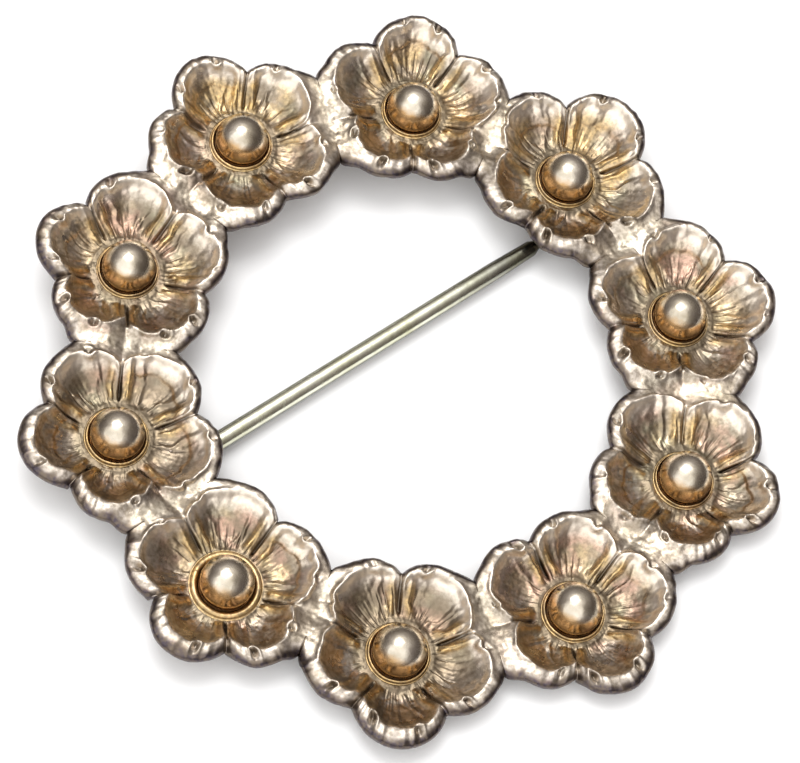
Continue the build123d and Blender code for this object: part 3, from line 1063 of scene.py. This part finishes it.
# Blossoms
mark_names = (
    "fold", "cleft", "vein", "rim", "nick", "step", "web", "dark", "worn", "back", "lit",
    "grey", "grey_rim", "ring", "seat", "outside",
)
for blossom in range(blossom_count):
    rows, row_marks, seam_corners = blossom_surface(blossom)
    row_count, ray_count = rows.shape[:2]
    marks = {
        mark: np.concatenate([row.get(mark, np.zeros(ray_count)) for row in row_marks])
        for mark in mark_names
    }
    # More gold towards the back: painted sheen
    gold_share = gold_in_front + (1 - gold_in_front) * marks.pop("back")
    marks["gold"] = blossom_table[blossom]["gold"] * gold_share
    for tint in ("rose", "tarnish"):
        marks[tint] = np.full(row_count * ray_count, blossom_table[blossom][tint])
    faces = grid_faces(row_count, ray_count)
    name = f"blossom_{blossom + 1:02d}"
    piece = make_mesh(name, rows.reshape(-1, 3), faces, marks, gilt, seam_corners)
    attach(piece, "wreath")
    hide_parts("wreath")

# Catch and hinge ears, in the ring's own frame
hinge = (hinge_world / MM - ring_origin) @ ring_axes
along = np.append(unit(stem_heading), 0.0)
aside = np.array([-along[1], along[0], 0.0])
ring_way_up = np.array([0.0, 0.0, 1.0])


def under_level(point):
    # Lower surface of the blossom over a point
    nearest = int(np.argmin(np.hypot(*(centres - point[:2]).T)))
    _, under, _ = relief(nearest, np.array([point[:2]]))
    return under[0]


def plate(name, profile, origin, first, second, thickness):
    # A flat outline given thickness both ways, with rounded edges
    across = np.cross(first, second)
    count = len(profile)
    flat = origin + profile[:, :1] * first + profile[:, 1:] * second
    points = np.concatenate([flat - across * thickness / 2, flat + across * thickness / 2])
    faces = [list(range(count))[::-1], list(range(count, 2 * count))]
    for start in range(count):
        after = (start + 1) % count
        faces.append([start, after, count + after, count + start])
    shape = bmesh.new()
    corners = [shape.verts.new(point) for point in points]
    for face in faces:
        shape.faces.new([corners[number] for number in face])
    bmesh.ops.recalc_face_normals(shape, faces=shape.faces)
    sharp = [edge for edge in shape.edges if edge.calc_face_angle(0) > radians(sharp_angle)]
    bmesh.ops.bevel(
        shape, geom=sharp, offset=edge_rounding, segments=3, affect="EDGES", profile=0.5,
    )
    bmesh.ops.triangulate(shape, faces=shape.faces)
    shape.verts.index_update()
    points = np.array([corner.co[:] for corner in shape.verts])
    faces = np.array([[corner.index for corner in face.verts] for face in shape.faces])
    shape.free()
    # Tarnish with painted shade on the fittings under the ring
    marks = {"outside": np.full(len(points), fitting_shade_and_tarnish)}
    made = make_mesh(name, points, faces, marks, gilt)
    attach(made, "wreath")
    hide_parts("wreath")


def quarter(middle, radius, start):
    # Points of a quarter of a circle, anticlockwise from an angle
    turns = np.radians(np.linspace(start, start + 90, 6))
    return middle + radius * np.column_stack([np.cos(turns), np.sin(turns)])


# The catch: down beside the stem and bent in under it
catch_origin = hinge + along * hinge_to_catch
inside = stem_radius + catch_gap
outside_reach = inside + catch_metal
back_top = under_level(catch_origin - aside * outside_reach) + solder_depth - catch_origin[2]
catch_profile = np.concatenate([
    [[-outside_reach, back_top]],
    quarter(np.full(2, catch_bend - outside_reach), catch_bend, 180),
    [[-catch_lip_short, -outside_reach], [-catch_lip_short, -inside]],
    [[-inside + catch_corner, -inside], [-inside, -inside + catch_corner]],
    [[-inside, back_top]],
])
plate("catch", catch_profile, catch_origin, aside, ring_way_up, catch_width)

# The ears: round plates across the tilted swing axis
tilt = radians(swing_tilt)
swing_axis = aside * cos(tilt) + ring_way_up * sin(tilt)
ear_up = ring_way_up * cos(tilt) - aside * sin(tilt)
round_turns = np.radians(np.linspace(180, 360, 25))
for name, place in (("hinge_ear_low", -1), ("hinge_ear_high", 1)):
    middle = hinge + swing_axis * (place * (ear_inside + ear_metal / 2))
    foot_level = min(
        under_level(middle + along * step + ear_up * 1.0) for step in (-ear_radius, ear_radius)
    )
    top = (foot_level + solder_depth - middle[2]) / cos(tilt)
    ear_profile = np.concatenate([
        ear_radius * np.column_stack([np.cos(round_turns), np.sin(round_turns)]),
        [[ear_radius, top], [-ear_radius, top]],
    ])
    plate(name, ear_profile, middle, along, ear_up, ear_metal)

# Carried-over pieces get their own metal
for name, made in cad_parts.items():
    if name == "wreath":
        continue
    made.data.materials.clear()
    made.data.materials.append(bead_silver if name.startswith("bead") else stem_silver)

# Floor
floor_size = 2.0
floor_gap = 0.00002
pale_floor, floor_nodes, floor_links = new_material("pale_floor")
floor_shader = floor_nodes["Principled BSDF"]
floor_shader.inputs["Roughness"].default_value = 0.9
floor_shade = noise_value(floor_nodes, floor_links, 20.0)
floor_colour = ramp(floor_nodes, floor_links, floor_shade, (0.0, 0.93), (1.0, 0.95))
floor_links.new(floor_colour, floor_shader.inputs["Base Color"])
bpy.ops.mesh.primitive_plane_add(size=floor_size, location=(0, 0, -floor_gap))
floor = bpy.context.object
floor.name = "floor"
floor.data.materials.append(pale_floor)

# Sky: bright overhead and some way down to the front, dim towards the horizon
brightest_way = (-0.12, 0.21, 0.97)
front_way = (0.0, -0.92, 0.0)
sky_strength = 1.9
world = bpy.data.worlds.new("studio")
bpy.context.scene.world = world
world.use_nodes = True
sky_nodes = world.node_tree.nodes
sky_links = world.node_tree.links
direction = sky_nodes.new("ShaderNodeTexCoord").outputs["Generated"]
to_front = dot(sky_nodes, sky_links, direction, front_way)
to_front = maths(sky_nodes, sky_links, "MAXIMUM", to_front, 0.0)
height_up = dot(sky_nodes, sky_links, direction, brightest_way)
height_up = maths(sky_nodes, sky_links, "ADD", to_front, height_up)
sky = ramp(
    sky_nodes, sky_links, height_up,
    (0.0, (0.056, 0.048, 0.046, 1)),
    (0.50, (0.125, 0.11, 0.105, 1)),
    (0.77, (0.28, 0.26, 0.25, 1)),
    (0.90, (0.60, 0.58, 0.57, 1)),
    (0.97, (1.0, 1.0, 1.0, 1)),
)
background = sky_nodes["Background"]
sky_links.new(sky, background.inputs["Color"])
background.inputs["Strength"].default_value = sky_strength

# Softbox: above, a little to the back and the left
softbox_size = 0.16
softbox_power = 0.36
softbox_place = Vector((-0.07, 0.05, 0.3))
lamp = bpy.data.lights.new("softbox", "AREA")
lamp.shape = "RECTANGLE"
lamp.size = softbox_size
lamp.size_y = softbox_size
lamp.energy = softbox_power
softbox = bpy.data.objects.new("softbox", lamp)
softbox.location = softbox_place
softbox.rotation_euler = (-softbox_place).to_track_quat("-Z", "Y").to_euler()
bpy.context.scene.collection.objects.link(softbox)

# Camera: steeply from the front and rolled, as the photo was taken
camera_rise = radians(63.95)
camera_roll = radians(23.67)
camera_distance = 181.8
camera_lens = 160.1
camera_sensor = 36.0
camera_shift = (-0.0062, -0.0125)
camera_aim = np.array([0, 0, bead_height])
back = np.array([0, -cos(camera_rise), sin(camera_rise)])
right = np.array([1.0, 0, 0])
up = np.array([0, sin(camera_rise), cos(camera_rise)])
rolled_right = cos(camera_roll) * right + sin(camera_roll) * up
rolled_up = -sin(camera_roll) * right + cos(camera_roll) * up
camera_data = bpy.data.cameras.new("camera")
camera_data.lens = camera_lens
camera_data.sensor_width = camera_sensor
camera_data.shift_x, camera_data.shift_y = camera_shift
camera = bpy.data.objects.new("camera", camera_data)
camera_place = to_world(camera_aim + back * camera_distance)
camera_axes = Matrix(ring_axes @ np.column_stack([rolled_right, rolled_up, back]))
camera.matrix_world = Matrix.Translation(camera_place) @ camera_axes.to_4x4()
bpy.context.scene.collection.objects.link(camera)
bpy.context.scene.camera = camera
bpy.context.scene.view_settings.view_transform = "Standard"
